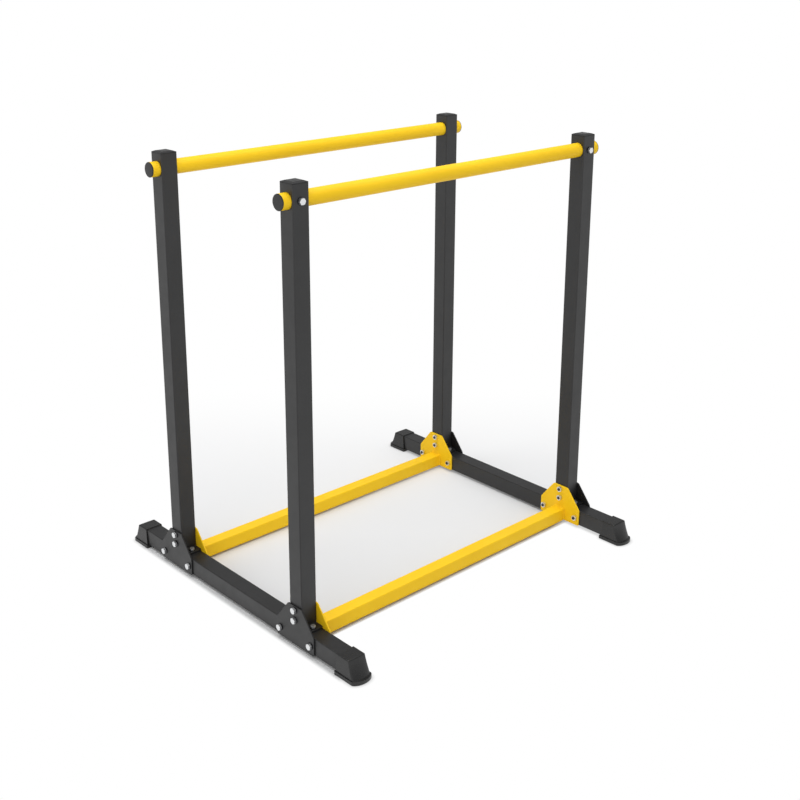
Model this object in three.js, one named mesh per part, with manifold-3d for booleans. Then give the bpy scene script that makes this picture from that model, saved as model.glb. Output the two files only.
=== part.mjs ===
// A free-standing dip station with two parallel bars, in millimetres.
// X runs from one bar to the other, Y along the bars and Z up. The origin is on the floor, in the middle.
// Two floor beams lie across the bars and carry four uprights. Two cross tubes under the bars join the beams.
// At each corner a gusset plate outside and an end plate inside are bolted through the upright and the beam.

import * as THREE from "three";
import { ConvexGeometry } from "three/addons/geometries/ConvexGeometry.js";
import { mergeVertices } from "three/addons/utils/BufferGeometryUtils.js";
import Module from "manifold-3d";

// Layout of the frame
const GRIP_SPACING = 567; // between the axes of the two bars
const UPRIGHT_SPACING = 1082; // between the axes of the two uprights under one bar
const FRAME_HEIGHT = 1245; // top edge of the upright tubes above the floor
const BAR_DROP = 42.5; // bar axis below the top edge of the uprights
const BEAM_LIFT = 8; // underside of the floor beams above the floor
const BEAM_OVERHANG = 206; // end of a floor beam beyond the upright's axis
const CROSS_LIFT = 7; // underside of the cross tubes and plates above the floor

// Tubes
const TUBE_SIDE = 50; // square tube of the beams and uprights
const TUBE_WALL = 2;
const TUBE_CORNER = 3; // outer corner radius
const CROSS_SIDE = 40; // square tube of the cross members
const CROSS_WALL = 2;
const CROSS_CORNER = 2.5;
const BAR_DIAMETER = 42; // round bar that the hands hold
const BAR_WALL = 2;
const BAR_REACH = 47.5; // end of the bar tube beyond the upright's axis

// Corner plates, all of one outline
const PLATE_THICKNESS = 4;
const PLATE_FOOT_WIDTH = 156; // width along the beam
const PLATE_HEAD_WIDTH = 56; // width of the top edge, on the upright
const PLATE_SHOULDER = 52; // height of the upright side edges
const PLATE_HEIGHT = 115;
const PLATE_CORNER = 5; // how far a rounded corner reaches along its edges

// Foot plate welded under each upright
const FOOT_PLATE_LENGTH = 103;
const FOOT_PLATE_THICKNESS = 6;
const FOOT_PLATE_CORNER = 5;

// Bolts of the foot plates, M8, and of the corner plates and bars, M10
const M8 = { shank: 8, across: 13, head: 5.3, nut: 6.5, washer: 16, washerThickness: 1.6, tail: 2.5 };
const M10 = { shank: 10, across: 16, head: 6.4, nut: 8, washer: 20, washerThickness: 2, tail: 2 };
const PLATE_BOLT_LOW = 24.5; // lower bolts above the underside of the beam
const PLATE_BOLT_EDGE = 14.5; // lower bolts inside the side edges of the plate
const PLATE_BOLT_FIRST = 22.6; // first upright bolt above the top of the beam
const PLATE_BOLT_PITCH = 29.6; // second upright bolt above the first
const FOOT_BOLT_EDGE = 12; // bolts of the foot plate inside its ends

// Moulded end shoe of a floor beam
const SHOE_WALL = 2.5;
const SHOE_SLEEVE = 41; // length that slides over the tube, at the floor
const SHOE_RIM_LEAN = 6; // how much shorter the sleeve is at its top
const SHOE_END_WALL = 8.5; // beyond the tube's end, at the top
const SHOE_END_LEAN = 18.5; // further reach of the end face at the floor
const SHOE_TOP_BOW = 1.5; // rise of the curved end face at its top
const SHOE_FOOT_BOW = 9; // and at the floor
const SHOE_FLARE = 3; // extra half width of the body at the floor
const SHOE_ROUND = 4; // rounding of the body's top edges
const SHOE_SOLE = 10.5; // thickness of the sole flange
const SHOE_SOLE_LIP = 2.4; // sole beyond the body at each side and at the inner end
const SHOE_SOLE_BOW = 15; // rise of the curved outer edge of the sole
const SHOE_SOLE_CORNER = 4;
const SHOE_BOW_SHARE = 0.62; // fullness of the curved edges

// Plastic plugs
const PLUG_RIM = 2; // straight edge of the upright's plug
const PLUG_CROWN = 3; // height of its bevelled crown
const PLUG_CROWN_INSET = 8.5; // crown's flat top inside the rim
const PLUG_WALL = 2.5;
const PLUG_DEPTH_SHARE = 0.6; // insert length as a share of the room above the bar
const BAR_CAP_RIM = 3;
const BAR_CAP_BEVEL = 1;
const BAR_CAP_WALL = 2;
const BAR_CAP_DEPTH = 15;

// Clearances
const SEAT_GAP = 0.1; // between faces that bear on each other, as thick as a coat of paint
const FIT_GAP = 0.3; // around what slides in or over
const WELD_OVERLAP = 0.5; // how far welded pieces run into each other
const OVERRUN = 5; // how far a cutting shape passes the face that it cuts

// Facets
const TUBE_CORNER_STEPS = 1;
const PLATE_CORNER_STEPS = 3;
const BOW_STEPS = 8;
const HEXAGON_SIDES = 6;
const SHANK_SIDES = 8;
const WASHER_SIDES = 16;
const BAR_SIDES = 32;
const QUARTER = Math.PI / 2;

// Places that follow from the sizes
const HALF_TUBE = TUBE_SIDE / 2;
const BEAM_TOP = BEAM_LIFT + TUBE_SIDE;
const BEAM_LENGTH = GRIP_SPACING + 2 * BEAM_OVERHANG;
const FOOT_PLATE_BOTTOM = BEAM_TOP + SEAT_GAP;
const UPRIGHT_BOTTOM = FOOT_PLATE_BOTTOM + FOOT_PLATE_THICKNESS;
const BAR_HEIGHT = FRAME_HEIGHT - BAR_DROP;
const PLATE_FACE = HALF_TUBE + SEAT_GAP;
const PLATE_OUTER = PLATE_FACE + PLATE_THICKNESS;
const CROSS_LENGTH = UPRIGHT_SPACING - 2 * (PLATE_OUTER + SEAT_GAP);
const PLATE_BOLT_SPREAD = PLATE_FOOT_WIDTH / 2 - PLATE_BOLT_EDGE;
const FOOT_BOLT_SPREAD = FOOT_PLATE_LENGTH / 2 - FOOT_BOLT_EDGE;
const LOW_BOLT_HEIGHT = BEAM_LIFT + PLATE_BOLT_LOW;
const FIRST_BOLT_HEIGHT = BEAM_TOP + PLATE_BOLT_FIRST;
const SECOND_BOLT_HEIGHT = FIRST_BOLT_HEIGHT + PLATE_BOLT_PITCH;

const material = (color, roughness, metalness) =>
  new THREE.MeshStandardMaterial({ color, roughness, metalness });
const BLACK_COAT = material(0x37373a, 0.5, 0.1);
const YELLOW_COAT = material(0xf2b61c, 0.45, 0.1);
const ZINC = material(0xc9cbce, 0.35, 0.9);
const SHOE_RUBBER = material(0x242425, 0.8, 0);
const PLUG_PLASTIC = material(0x2c2c2e, 0.55, 0);

const wasm = await Module();
wasm.setup();

// Boolean cuts and joins
function solidOf(geometry) {
  const bare = geometry.clone();
  bare.deleteAttribute("normal");
  bare.deleteAttribute("uv");
  const merged = mergeVertices(bare);
  const vertProperties = merged.attributes.position.array;
  const triVerts = new Uint32Array(merged.index.array);
  return new wasm.Manifold(new wasm.Mesh({ numProp: 3, vertProperties, triVerts }));
}

function geometryOf(solid) {
  const mesh = solid.getMesh();
  const geometry = new THREE.BufferGeometry();
  geometry.setAttribute("position", new THREE.BufferAttribute(mesh.vertProperties, 3));
  geometry.setIndex(new THREE.BufferAttribute(mesh.triVerts, 1));
  const faceted = geometry.toNonIndexed();
  faceted.computeVertexNormals();
  return faceted;
}

const join = (...pieces) => geometryOf(pieces.map(solidOf).reduce((a, b) => a.add(b)));
const cut = (body, ...tools) => geometryOf(tools.map(solidOf).reduce((a, b) => a.subtract(b), solidOf(body)));

// Outlines
function roundedOutline(points, reach) {
  const shape = new THREE.Shape();
  points.forEach((corner, i) => {
    const before = points.at(i - 1);
    const after = points[(i + 1) % points.length];
    const start = before.clone().sub(corner).setLength(reach).add(corner);
    const end = after.clone().sub(corner).setLength(reach).add(corner);
    if (i === 0) shape.moveTo(start.x, start.y);
    else shape.lineTo(start.x, start.y);
    shape.quadraticCurveTo(corner.x, corner.y, end.x, end.y);
  });
  shape.closePath();
  return shape;
}

function roundedSquare(side, radius) {
  const middle = side / 2 - radius;
  const shape = new THREE.Shape();
  shape.absarc(middle, middle, radius, 0, QUARTER);
  shape.absarc(-middle, middle, radius, QUARTER, 2 * QUARTER);
  shape.absarc(-middle, -middle, radius, 2 * QUARTER, 3 * QUARTER);
  shape.absarc(middle, -middle, radius, 3 * QUARTER, 4 * QUARTER);
  shape.closePath();
  return shape;
}

const extrude = (shape, depth, curveSegments = TUBE_CORNER_STEPS) =>
  new THREE.ExtrudeGeometry(shape, { depth, bevelEnabled: false, curveSegments });

// Square tube along Z, centred on the origin
function squareTube(side, wall, corner, length) {
  const section = roundedSquare(side, corner);
  section.holes.push(roundedSquare(side - 2 * wall, corner - wall / 2));
  return extrude(section, length).translate(0, 0, -length / 2);
}

// Round stock along a named axis, centred on the origin
function rod(axis, diameter, length, sides = SHANK_SIDES) {
  const made = new THREE.CylinderGeometry(diameter / 2, diameter / 2, length, sides);
  if (axis === "x") made.rotateZ(QUARTER);
  if (axis === "z") made.rotateX(QUARTER);
  return made;
}

// Hexagonal prism along Z from its lower face at zero
function hexagon(across, height) {
  const radius = across / Math.sqrt(3);
  const made = new THREE.CylinderGeometry(radius, radius, height, HEXAGON_SIDES);
  return made.rotateX(QUARTER).translate(0, 0, height / 2);
}

const boltHole = (size) => size.shank + 2 * FIT_GAP;

// Bolt along Z whose washer bears on the plane z = 0. A nut bears on the far side when the grip is given.
function hexBolt(size, reach, grip) {
  const shank = rod("z", size.shank, reach + size.washerThickness + size.head / 2);
  shank.translate(0, 0, (size.washerThickness + size.head / 2 - reach) / 2);
  const washer = rod("z", size.washer, size.washerThickness, WASHER_SIDES);
  washer.translate(0, 0, size.washerThickness / 2);
  const pieces = [shank, washer, hexagon(size.across, size.head).translate(0, 0, size.washerThickness)];
  if (grip) pieces.push(hexagon(size.across, size.nut).translate(0, 0, -grip - size.nut));
  return join(...pieces);
}

// Nut along Z with an open thread, welded to what lies above its top at zero
function weldNut(size) {
  const blank = hexagon(size.across, size.nut).translate(0, 0, -size.nut);
  const bore = rod("z", boltHole(size), size.nut + 2 * OVERRUN + size.across);
  return cut(blank, bore.translate(0, 0, -size.nut / 2));
}

// Floor beam along X with nuts welded under its top wall for the foot plates
function floorBeam() {
  const tube = squareTube(TUBE_SIDE, TUBE_WALL, TUBE_CORNER, BEAM_LENGTH).rotateY(QUARTER);
  const ceiling = HALF_TUBE - TUBE_WALL + WELD_OVERLAP;
  const nuts = [];
  const holes = [];
  for (const side of [-1, 1]) {
    const upright = (side * GRIP_SPACING) / 2;
    for (const way of [-1, 1]) {
      const footX = upright + way * FOOT_BOLT_SPREAD;
      nuts.push(weldNut(M8).translate(footX, 0, ceiling));
      holes.push(rod("z", boltHole(M8), 2 * OVERRUN).translate(footX, 0, HALF_TUBE));
      const plateX = upright + way * PLATE_BOLT_SPREAD;
      const height = PLATE_BOLT_LOW - HALF_TUBE;
      holes.push(rod("y", boltHole(M10), TUBE_SIDE + 2 * OVERRUN).translate(plateX, 0, height));
    }
  }
  return cut(join(tube, ...nuts), ...holes);
}

// Upright on its welded foot plate. The bar bolt enters through the wall on the +X side.
function upright() {
  const length = FRAME_HEIGHT - UPRIGHT_BOTTOM + WELD_OVERLAP;
  const tube = squareTube(TUBE_SIDE, TUBE_WALL, TUBE_CORNER, length);
  tube.translate(0, 0, FRAME_HEIGHT - length / 2);
  const halfFoot = FOOT_PLATE_LENGTH / 2;
  const corners = [
    new THREE.Vector2(-halfFoot, -HALF_TUBE),
    new THREE.Vector2(halfFoot, -HALF_TUBE),
    new THREE.Vector2(halfFoot, HALF_TUBE),
    new THREE.Vector2(-halfFoot, HALF_TUBE),
  ];
  const foot = extrude(roundedOutline(corners, FOOT_PLATE_CORNER), FOOT_PLATE_THICKNESS, PLATE_CORNER_STEPS);
  foot.translate(0, 0, FOOT_PLATE_BOTTOM);
  const barHole = rod("y", BAR_DIAMETER + 2 * FIT_GAP, TUBE_SIDE + 2 * OVERRUN, BAR_SIDES);
  const holes = [
    barHole.translate(0, 0, BAR_HEIGHT),
    rod("x", boltHole(M10), HALF_TUBE + OVERRUN).translate((HALF_TUBE + OVERRUN) / 2, 0, BAR_HEIGHT),
  ];
  for (const height of [FIRST_BOLT_HEIGHT, SECOND_BOLT_HEIGHT])
    holes.push(rod("y", boltHole(M10), TUBE_SIDE + 2 * OVERRUN).translate(0, 0, height));
  for (const way of [-1, 1])
    holes.push(rod("z", boltHole(M8), BEAM_TOP).translate(way * FOOT_BOLT_SPREAD, 0, BEAM_TOP));
  return cut(join(tube, foot), ...holes);
}

// Plate in the XZ plane, from y = 0 to y = -PLATE_THICKNESS, centred on the upright's axis
function cornerPlate() {
  const foot = PLATE_FOOT_WIDTH / 2;
  const head = PLATE_HEAD_WIDTH / 2;
  const corners = [
    new THREE.Vector2(-foot, 0),
    new THREE.Vector2(foot, 0),
    new THREE.Vector2(foot, PLATE_SHOULDER),
    new THREE.Vector2(head, PLATE_HEIGHT),
    new THREE.Vector2(-head, PLATE_HEIGHT),
    new THREE.Vector2(-foot, PLATE_SHOULDER),
  ];
  const blank = extrude(roundedOutline(corners, PLATE_CORNER), PLATE_THICKNESS, PLATE_CORNER_STEPS);
  blank.rotateX(QUARTER).translate(0, 0, CROSS_LIFT);
  const places = [
    [0, FIRST_BOLT_HEIGHT],
    [0, SECOND_BOLT_HEIGHT],
    [-PLATE_BOLT_SPREAD, LOW_BOLT_HEIGHT],
    [PLATE_BOLT_SPREAD, LOW_BOLT_HEIGHT],
  ];
  const hole = ([x, z]) => rod("y", boltHole(M10), 2 * (PLATE_THICKNESS + OVERRUN)).translate(x, 0, z);
  return cut(blank, ...places.map(hole));
}

// Round bar along Y with a nut welded inside the wall at each upright, on the +X side
function bar() {
  const length = UPRIGHT_SPACING + 2 * BAR_REACH;
  const bore = BAR_DIAMETER - 2 * BAR_WALL;
  const inside = rod("y", bore, length + 2 * OVERRUN, BAR_SIDES);
  const tube = cut(rod("y", BAR_DIAMETER, length, BAR_SIDES), inside);
  const innerEdge = Math.sqrt((bore / 2) ** 2 - (boltHole(M10) / 2) ** 2);
  const outerEdge = Math.sqrt((BAR_DIAMETER / 2) ** 2 - M10.across ** 2 / 3);
  const nuts = [];
  const holes = [];
  for (const end of [-1, 1]) {
    const y = (end * UPRIGHT_SPACING) / 2;
    nuts.push(weldNut(M10).rotateY(QUARTER).translate((innerEdge + outerEdge) / 2, y, 0));
    holes.push(rod("x", boltHole(M10), BAR_DIAMETER / 2).translate(BAR_DIAMETER / 2, y, 0));
  }
  return cut(join(tube, ...nuts), ...holes);
}

// Plug in the upper end of an upright
function uprightPlug() {
  const lift = FRAME_HEIGHT + SEAT_GAP;
  const rim = extrude(roundedSquare(TUBE_SIDE, TUBE_CORNER), PLUG_RIM).translate(0, 0, lift);
  const lowRadius = (TUBE_SIDE / 2 - TUBE_CORNER / 2) * Math.SQRT2;
  const topRadius = (TUBE_SIDE / 2 - PLUG_CROWN_INSET) * Math.SQRT2;
  const crown = new THREE.CylinderGeometry(topRadius, lowRadius, PLUG_CROWN + WELD_OVERLAP, 4);
  crown.rotateX(QUARTER).rotateZ(QUARTER / 2);
  crown.translate(0, 0, lift + PLUG_RIM + (PLUG_CROWN - WELD_OVERLAP) / 2);
  const depth = PLUG_DEPTH_SHARE * (BAR_DROP - BAR_DIAMETER / 2);
  const side = TUBE_SIDE - 2 * TUBE_WALL - 2 * FIT_GAP;
  const insert = squareTube(side, PLUG_WALL, TUBE_CORNER - TUBE_WALL / 2, depth + WELD_OVERLAP + SEAT_GAP);
  insert.translate(0, 0, lift + WELD_OVERLAP - (depth + WELD_OVERLAP + SEAT_GAP) / 2);
  return join(rim, crown, insert);
}

// Cap in the end of a bar, with its outer face towards -Y and the tube's end at y = 0
function barCap() {
  const rim = BAR_DIAMETER / 2;
  const insert = rim - BAR_WALL - FIT_GAP;
  const profile = [
    [0, BAR_CAP_RIM],
    [rim - BAR_CAP_BEVEL, BAR_CAP_RIM],
    [rim, BAR_CAP_RIM - BAR_CAP_BEVEL],
    [rim, 0],
    [insert, 0],
    [insert, -BAR_CAP_DEPTH],
    [insert - BAR_CAP_WALL, -BAR_CAP_DEPTH],
    [insert - BAR_CAP_WALL, 0],
    [0, 0],
  ];
  const points = profile.map(([radius, height]) => new THREE.Vector2(radius, height)).reverse();
  return new THREE.LatheGeometry(points, BAR_SIDES).rotateX(2 * QUARTER).translate(0, -SEAT_GAP, 0);
}

// Points of a curved edge across the shoe, from -Y to +Y
function bowedEdge(x, half, bow) {
  const crest = x + (4 / 3) * bow;
  const handle = SHOE_BOW_SHARE * half;
  const curve = new THREE.CubicBezierCurve(
    new THREE.Vector2(x, -half),
    new THREE.Vector2(crest, -handle),
    new THREE.Vector2(crest, handle),
    new THREE.Vector2(x, half),
  );
  return curve.getPoints(BOW_STEPS);
}

// Shoe on the +X end of a floor beam, with the tube's end at x = 0 and the floor at z = 0
function shoe() {
  const top = BEAM_TOP + SHOE_WALL;
  const half = HALF_TUBE + FIT_GAP + SHOE_WALL;
  const bevel = SHOE_ROUND * (1 - Math.SQRT1_2);
  const rings = [
    [0, 0],
    [top - SHOE_ROUND, 0],
    [top - bevel, bevel],
    [top, SHOE_ROUND],
  ];
  const points = [];
  for (const [height, inset] of rings) {
    const rise = height / top;
    const halfWidth = half + (1 - rise) * SHOE_FLARE - inset;
    const rim = rise * SHOE_RIM_LEAN - SHOE_SLEEVE;
    const face = SHOE_END_WALL + (1 - rise) * SHOE_END_LEAN - inset;
    const bow = rise * SHOE_TOP_BOW + (1 - rise) * SHOE_FOOT_BOW;
    for (const side of [-1, 1]) points.push(new THREE.Vector3(rim, side * halfWidth, height));
    for (const { x, y } of bowedEdge(face, halfWidth, bow)) points.push(new THREE.Vector3(x, y, height));
  }
  const body = new ConvexGeometry(points);

  const soleInner = -SHOE_SLEEVE - SHOE_SOLE_LIP;
  const soleHalf = half + SHOE_FLARE + SHOE_SOLE_LIP;
  const plan = new THREE.Shape();
  plan.moveTo(soleInner + SHOE_SOLE_CORNER, -soleHalf);
  for (const { x, y } of bowedEdge(SHOE_END_WALL + SHOE_END_LEAN, soleHalf, SHOE_SOLE_BOW)) plan.lineTo(x, y);
  plan.lineTo(soleInner + SHOE_SOLE_CORNER, soleHalf);
  plan.quadraticCurveTo(soleInner, soleHalf, soleInner, soleHalf - SHOE_SOLE_CORNER);
  plan.lineTo(soleInner, SHOE_SOLE_CORNER - soleHalf);
  plan.quadraticCurveTo(soleInner, -soleHalf, soleInner + SHOE_SOLE_CORNER, -soleHalf);
  const sole = extrude(plan, SHOE_SOLE, PLATE_CORNER_STEPS);

  const reach = SHOE_SLEEVE + SEAT_GAP + OVERRUN;
  const pocket = extrude(roundedSquare(TUBE_SIDE + 2 * FIT_GAP, TUBE_CORNER), reach).rotateY(QUARTER);
  pocket.translate(SEAT_GAP - reach, 0, BEAM_LIFT + HALF_TUBE);
  return cut(join(body, sole), pocket);
}

// Assembly
const station = new THREE.Group();
const ENDS = { front: -1, rear: 1 };
const SIDES = { left: -1, right: 1 };

function add(name, geometry, coat, parent, x = 0, y = 0, z = 0) {
  const mesh = new THREE.Mesh(geometry, coat);
  mesh.name = name;
  mesh.position.set(x, y, z);
  parent.add(mesh);
  return mesh;
}

// Group at a place, turned half round when its own front faces the far way
function turnedGroup(x, y, turned) {
  const group = new THREE.Group();
  group.position.set(x, y, 0);
  if (turned) group.rotation.z = 2 * QUARTER;
  station.add(group);
  return group;
}

const plateGrip = 2 * (PLATE_OUTER + SEAT_GAP);
const footGrip = FOOT_PLATE_THICKNESS + 2 * SEAT_GAP + TUBE_WALL;
const barGrip = HALF_TUBE + SEAT_GAP + BAR_WALL - BAR_DIAMETER / 2;
const shapes = {
  beam: floorBeam(),
  upright: upright(),
  plate: cornerPlate(),
  cross: squareTube(CROSS_SIDE, CROSS_WALL, CROSS_CORNER, CROSS_LENGTH).rotateX(QUARTER),
  bar: bar(),
  plug: uprightPlug(),
  cap: barCap(),
  shoe: shoe(),
  plateBolt: hexBolt(M10, plateGrip + M10.nut + M10.tail, plateGrip).rotateX(QUARTER),
  footBolt: hexBolt(M8, footGrip + M8.nut + M8.tail),
  barBolt: hexBolt(M10, barGrip + M10.nut + 2 * M10.tail).rotateY(QUARTER),
};

for (const [endName, end] of Object.entries(ENDS)) {
  const y = (end * UPRIGHT_SPACING) / 2;
  add("floor_beam_" + endName, shapes.beam, BLACK_COAT, station, 0, y, BEAM_LIFT + HALF_TUBE);
}

for (const [sideName, side] of Object.entries(SIDES)) {
  const x = (side * GRIP_SPACING) / 2;
  add("cross_tube_" + sideName, shapes.cross, YELLOW_COAT, station, x, 0, CROSS_LIFT + CROSS_SIDE / 2);
  add("bar_" + sideName, shapes.bar, YELLOW_COAT, turnedGroup(x, 0, side < 0), 0, 0, BAR_HEIGHT);
}

for (const [endName, end] of Object.entries(ENDS))
  for (const [sideName, side] of Object.entries(SIDES)) {
    const corner = "_" + endName + "_" + sideName;
    const x = (side * GRIP_SPACING) / 2;
    const y = (end * UPRIGHT_SPACING) / 2;

    // Pieces that face outwards along X
    add("shoe" + corner, shapes.shoe, SHOE_RUBBER, turnedGroup(x, y, side < 0), BEAM_OVERHANG);
    const across = turnedGroup(x, y, side < 0);
    add("upright" + corner, shapes.upright, BLACK_COAT, across);
    add("upright_plug" + corner, shapes.plug, PLUG_PLASTIC, across);
    add("bar_bolt" + corner, shapes.barBolt, ZINC, across, HALF_TUBE + SEAT_GAP, 0, BAR_HEIGHT);
    for (const [wayName, way] of [["inner", -1], ["outer", 1]]) {
      const lift = FOOT_PLATE_BOTTOM + FOOT_PLATE_THICKNESS + SEAT_GAP;
      add("foot_bolt_" + wayName + corner, shapes.footBolt, ZINC, across, way * FOOT_BOLT_SPREAD, 0, lift);
    }

    // Pieces that face outwards along Y
    const along = turnedGroup(x, y, end > 0);
    const outer = side * -end;
    add("gusset_plate" + corner, shapes.plate, BLACK_COAT, along, 0, -PLATE_FACE);
    add("end_plate" + corner, shapes.plate, YELLOW_COAT, along, 0, PLATE_OUTER);
    add("bar_cap" + corner, shapes.cap, PLUG_PLASTIC, along, 0, -BAR_REACH, BAR_HEIGHT);
    const bolts = [
      ["first", 0, FIRST_BOLT_HEIGHT],
      ["second", 0, SECOND_BOLT_HEIGHT],
      ["inner", -outer * PLATE_BOLT_SPREAD, LOW_BOLT_HEIGHT],
      ["outer", outer * PLATE_BOLT_SPREAD, LOW_BOLT_HEIGHT],
    ];
    const face = -PLATE_OUTER - SEAT_GAP;
    for (const [boltName, boltX, boltZ] of bolts)
      add("plate_bolt_" + boltName + corner, shapes.plateBolt, ZINC, along, boltX, face, boltZ);
  }

export default station;
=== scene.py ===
"""Looks of a free-standing dip station: coated square tube, round bars, plates, bolts and moulded ends.

Metres throughout, in the frame's own axes: X from bar to bar, Y along the bars, Z up from the floor.
Every piece takes its place and size from the box of the node that it stands for.
"""

import math

import bmesh
import bpy
from mathutils import Matrix, Vector


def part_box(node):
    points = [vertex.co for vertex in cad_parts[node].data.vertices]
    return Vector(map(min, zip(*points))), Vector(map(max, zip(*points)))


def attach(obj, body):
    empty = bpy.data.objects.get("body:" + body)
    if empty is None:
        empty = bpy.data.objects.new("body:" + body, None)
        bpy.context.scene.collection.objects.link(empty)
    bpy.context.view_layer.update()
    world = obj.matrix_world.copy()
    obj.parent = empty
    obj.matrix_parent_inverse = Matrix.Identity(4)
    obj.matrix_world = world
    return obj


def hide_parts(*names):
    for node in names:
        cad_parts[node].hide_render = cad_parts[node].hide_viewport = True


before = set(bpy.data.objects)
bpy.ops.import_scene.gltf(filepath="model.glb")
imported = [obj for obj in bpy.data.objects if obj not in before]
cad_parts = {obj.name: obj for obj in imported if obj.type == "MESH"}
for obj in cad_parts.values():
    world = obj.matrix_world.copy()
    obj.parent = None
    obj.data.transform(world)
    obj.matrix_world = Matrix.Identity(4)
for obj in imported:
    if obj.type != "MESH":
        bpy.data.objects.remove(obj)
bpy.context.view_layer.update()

MM = 0.001

# Sizes that the frame's boxes don't give

TUBE_WALL = 2 * MM
TUBE_RADIUS = 3 * MM
TUBE_CORNER_STEPS = 6
CROSS_RADIUS = 2.5 * MM
FOOT_PLATE_THICKNESS = 6 * MM
FOOT_PLATE_CORNER = 5 * MM
FOOT_PLATE_CORNER_STEPS = 5
BAR_STEPS = 96
BAR_HOLE_GAP = 1.1 * MM
HOLE_GAP = 0.3 * MM
SEAT_GAP = 0.1 * MM
EDGE_ROUND = 0.5 * MM
EDGE_SHARE = 0.3
CUT_STEPS = 48
CUT_MARGIN = 4 * MM

M8 = dict(shank=8 * MM, across=13 * MM, head=5.3 * MM, nut=6.5 * MM, washer=16 * MM, washer_height=1.6 * MM,
          pitch=1.25 * MM, dish=0)
M10 = dict(shank=10 * MM, across=16 * MM, head=6.4 * MM, nut=8 * MM, washer=20 * MM, washer_height=2 * MM,
           pitch=1.5 * MM, dish=0.35 * MM)

ENDS = {"front": -1, "rear": 1}
SIDES = {"left": -1, "right": 1}
CORNERS = [(f"{end}_{side}", ENDS[end], SIDES[side]) for end in ENDS for side in SIDES]


# Node trees

WHITE = (1, 1, 1, 1)


def add(tree, kind, **settings):
    """A new node, with its sockets and its attributes set by name."""
    node = tree.nodes.new(kind)
    for key, value in settings.items():
        if key in node.inputs:
            node.inputs[key].default_value = value
        else:
            setattr(node, key, value)
    return node


def noise(tree, source, scale, detail=2.0, roughness=0.5):
    node = add(tree, "ShaderNodeTexNoise", Scale=scale, Detail=detail, Roughness=roughness)
    tree.links.new(source, node.inputs["Vector"])
    return node.outputs["Fac"]


def ramp(tree, source, low, high, start=0.0, end=1.0, smooth=False):
    """Maps source from low..high to start..end, held at both ends."""
    node = add(tree, "ShaderNodeMapRange")
    if smooth:
        node.interpolation_type = "SMOOTHSTEP"
    for key, value in (("From Min", low), ("From Max", high), ("To Min", start), ("To Max", end)):
        node.inputs[key].default_value = value
    tree.links.new(source, node.inputs["Value"])
    return node.outputs["Result"]


def tint(tree, factor, first, second):
    node = add(tree, "ShaderNodeMix", data_type="RGBA")
    node.inputs["A"].default_value = (*first, 1)
    node.inputs["B"].default_value = (*second, 1)
    tree.links.new(factor, node.inputs["Factor"])
    return node.outputs["Result"]


def bump(tree, height, distance, strength, below=None):
    node = add(tree, "ShaderNodeBump", Distance=distance, Strength=strength)
    tree.links.new(height, node.inputs["Height"])
    if below is not None:
        tree.links.new(below, node.inputs["Normal"])
    return node.outputs["Normal"]


def combined(tree, operation, sources):
    """The sources joined in turn by one kind of sum."""
    result = sources[0]
    for source in sources[1:]:
        node = add(tree, "ShaderNodeMath", operation=operation)
        tree.links.new(result, node.inputs[0])
        tree.links.new(source, node.inputs[1])
        result = node.outputs["Value"]
    return result


def blended(tree, share, first, second):
    """Two shaders mixed, with the second one showing by its share."""
    node = add(tree, "ShaderNodeMixShader")
    tree.links.new(share, node.inputs["Fac"])
    tree.links.new(first, node.inputs[1])
    tree.links.new(second, node.inputs[2])
    return node.outputs["Shader"]


def bare_tree(holder):
    """The node tree of a material or a world, emptied."""
    holder.use_nodes = True
    holder.node_tree.nodes.clear()
    return holder.node_tree


# Materials

# Scales of noise, in repeats a metre
COAT_DRIFT_SCALE = 7.0
SMUDGE_SCALE = 26.0
ORANGE_PEEL_SCALE = 520.0
COAT_GRAIN_SCALE = 2600.0
MOULD_DRIFT_SCALE = 18.0
RUB_SCALE = 60.0
MOTTLE_SCALE = 420.0
SCRATCH_SCALE = 1900.0

# Ranges that noise fills
NOISE_LOW = 0.3
NOISE_HIGH = 0.7
SMUDGE_HIGH = 0.75
MOTTLE_LOW = 0.35
MOTTLE_HIGH = 0.65

# How far smudges, rubbed places and mottle turn a surface duller or glossier
DULLER = 0.06
GLOSSIER = 0.05
RUB_SWING = 0.06

ORANGE_PEEL_DEPTH = 0.06 * MM
COAT_GRAIN_DEPTH = 0.02 * MM
SCRATCH_DEPTH = 0.02 * MM
SCRATCH_STRENGTH = 0.35
MOULD_STRENGTH = 0.5


def principled(name):
    """A new material with its tree, its shader and the place on the object that patterns follow."""
    material = bpy.data.materials.new(name)
    material.use_nodes = True
    tree = material.node_tree
    place = add(tree, "ShaderNodeTexCoord").outputs["Object"]
    return material, tree, tree.nodes["Principled BSDF"], place


def powder_coat(name, dark, light, roughness, specular, peel):
    """Sprayed and baked coat: orange peel, a fine grain, slow drifts of tone and smudges in the gloss."""
    material, tree, shader, place = principled(name)
    link = tree.links.new
    drift = noise(tree, place, COAT_DRIFT_SCALE, detail=3.0)
    grain = noise(tree, place, COAT_GRAIN_SCALE)
    orange = noise(tree, place, ORANGE_PEEL_SCALE, roughness=0.45)
    smudge = noise(tree, place, SMUDGE_SCALE, detail=4.0, roughness=0.6)
    tone = ramp(tree, drift, NOISE_LOW, NOISE_HIGH)
    link(tint(tree, tone, dark, light), shader.inputs["Base Color"])
    gloss = ramp(tree, smudge, NOISE_LOW, SMUDGE_HIGH, roughness - GLOSSIER, roughness + DULLER)
    link(gloss, shader.inputs["Roughness"])
    shader.inputs["Specular IOR Level"].default_value = specular
    fine = bump(tree, grain, COAT_GRAIN_DEPTH, peel)
    link(bump(tree, orange, ORANGE_PEEL_DEPTH, peel, fine), shader.inputs["Normal"])
    return material


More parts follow.
